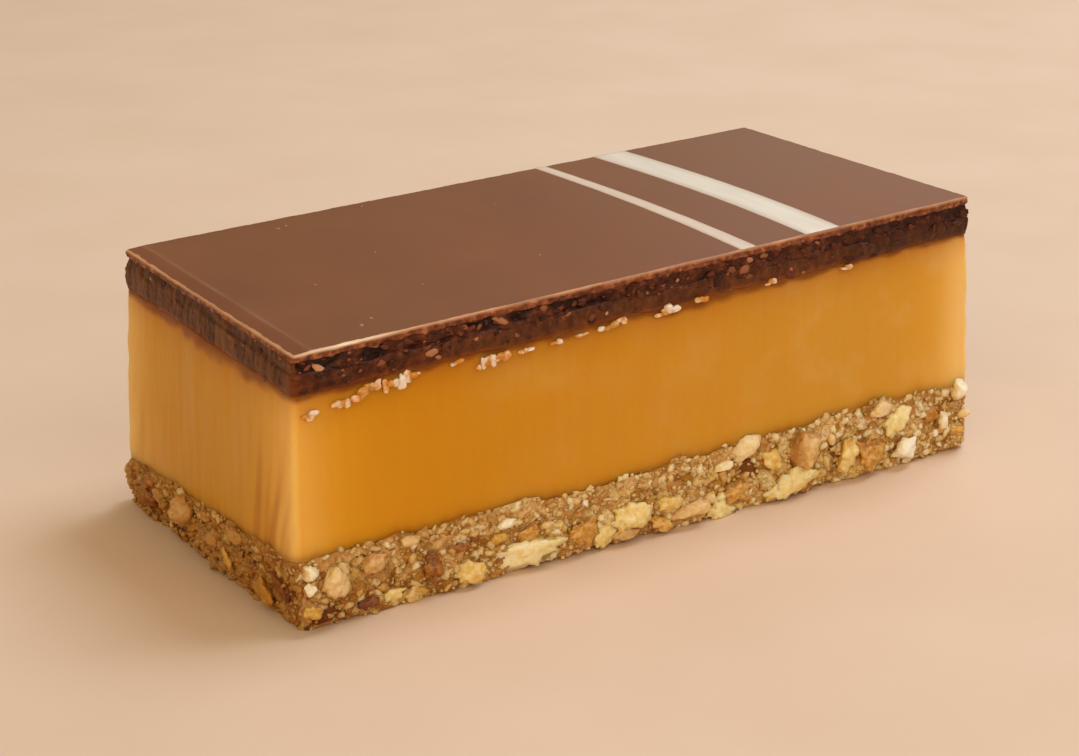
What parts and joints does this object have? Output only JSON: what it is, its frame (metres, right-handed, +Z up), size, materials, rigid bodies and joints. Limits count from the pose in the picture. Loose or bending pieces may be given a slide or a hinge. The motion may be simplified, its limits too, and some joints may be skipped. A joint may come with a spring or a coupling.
{
  "type": "chocolate caramel slice",
  "caption": "Finger of cake with a crumbly nut and biscuit base, soft caramel, dark ganache and a thin chocolate sheet set with white stripes.",
  "frame": {"origin": "middle of the footprint, on the face that the slice rests on", "axes": "+X along the slice's length, towards the end with the white stripes; +Y across it; +Z up"},
  "size_m": [0.093, 0.044, 0.032],
  "materials": {
    "nut_biscuit_base": null,
    "caramel": "translucent amber caramel, satin to glossy",
    "ganache": "dark ganache, smooth on the cut ends and torn along the sides",
    "chocolate_sheet": "tempered milk chocolate, satin",
    "white_chocolate": "white chocolate, satin"
  },
  "bodies": {
    "root": {"nut_biscuit_base": "nut_biscuit_base", "caramel_layer": "caramel", "ganache_layer": "ganache", "chocolate_sheet": "chocolate_sheet", "white_stripe_narrow": "white_chocolate", "white_stripe_wide": "white_chocolate"}
  },
  "joints": []
}
